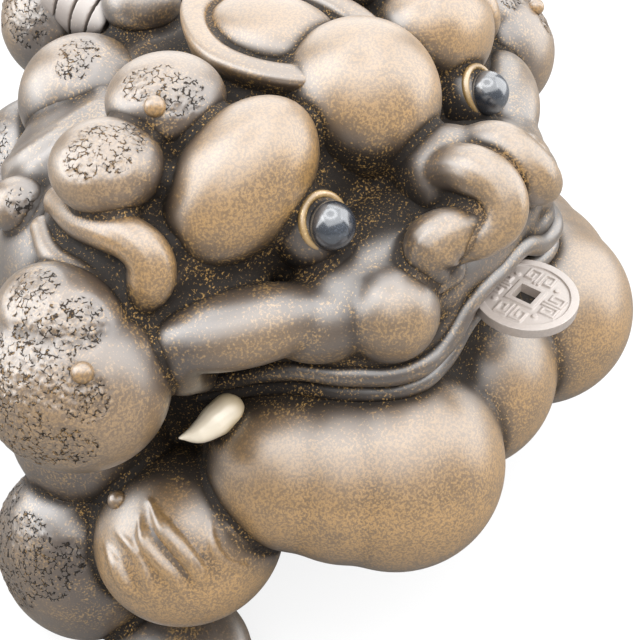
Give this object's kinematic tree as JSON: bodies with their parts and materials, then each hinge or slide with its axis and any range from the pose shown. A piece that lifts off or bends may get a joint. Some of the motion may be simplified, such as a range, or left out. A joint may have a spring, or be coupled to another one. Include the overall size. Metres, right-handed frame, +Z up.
{
  "type": "money toad figurine",
  "caption": "Squat clay toad figurine with warty back, bead eyes, fangs, a swollen throat and a loose cash coin that slides out of its mouth.",
  "frame": {"origin": "middle of the bounding box on the plane that the toad stands on", "axes": "+Z up, -Y the way the toad faces, +X towards its left side"},
  "size_m": [0.144, 0.1458, 0.1047],
  "materials": {
    "body_clay": "dark brown stoneware clay with fine gold flecks, waxed satin",
    "tan_clay": "brown clay rubbed to golden tan on the raised parts, waxed satin",
    "dark_clay": "near-black brown clay with fine gold flecks, waxed satin",
    "coin_clay": "matt dark brown clay with a raised pattern",
    "bone_clay": "pale cream clay, satin",
    "eye_glaze": "blue-black satin bead",
    "gold_line": "thin dull gold ring round the eye"
  },
  "bodies": {
    "toad": {"belly_shell": "body_clay", "back_shell": "body_clay", "forehead_ball": "tan_clay", "upper_jaw": "body_clay", "nose": "body_clay", "throat_sac": "tan_clay", "upper_lip": "dark_clay", "lower_lip": "dark_clay", "ingot_dome": "tan_clay", "ingot_boat": "tan_clay", "back_ball": "dark_clay", "rump": "body_clay", "hind_leg": "body_clay", "hind_foot": "dark_clay", "spine_cash_1": "coin_clay", "spine_cash_2": "coin_clay", "spine_cash_3": "coin_clay", "spine_cash_4": "coin_clay", "eye_bead_right": "eye_glaze", "eye_bead_left": "eye_glaze", "eye_ring_right": "gold_line", "eye_ring_left": "gold_line", "fang_right": "bone_clay", "fang_left": "bone_clay", "brow_right": "tan_clay", "brow_left": "tan_clay", "eye_socket_right": "dark_clay", "eye_socket_left": "dark_clay", "nostril_bulb_right": "tan_clay", "nostril_bulb_left": "tan_clay", "cheek_right": "body_clay", "cheek_left": "body_clay", "ear_right": "tan_clay", "ear_left": "tan_clay", "side_wart_right": "body_clay", "side_wart_left": "body_clay", "crown_wart_right": "body_clay", "crown_wart_left": "body_clay", "foreleg_right": "body_clay", "foreleg_left": "body_clay", "flame_tuft_right": "tan_clay", "flame_tuft_left": "tan_clay", "forefoot_right": "dark_clay", "forefoot_left": "dark_clay", "haunch_right": "body_clay", "haunch_left": "body_clay", "back_wart_right": "body_clay", "back_wart_left": "body_clay", "wart_pellet_right": "tan_clay", "wart_pellet_left": "tan_clay", "cheek_pellet_right": "tan_clay", "cheek_pellet_left": "tan_clay", "shoulder_pellet_right": "tan_clay", "shoulder_pellet_left": "tan_clay", "tuft_pellet_right": "tan_clay", "tuft_pellet_left": "tan_clay"},
    "coin": {"mouth_coin": "coin_clay"}
  },
  "joints": [
    {"name": "coin_slide", "type": "slide", "parent": "toad", "child": "coin", "axis": [0, -1, 0], "range_m": [0, 0.012]}
  ]
}
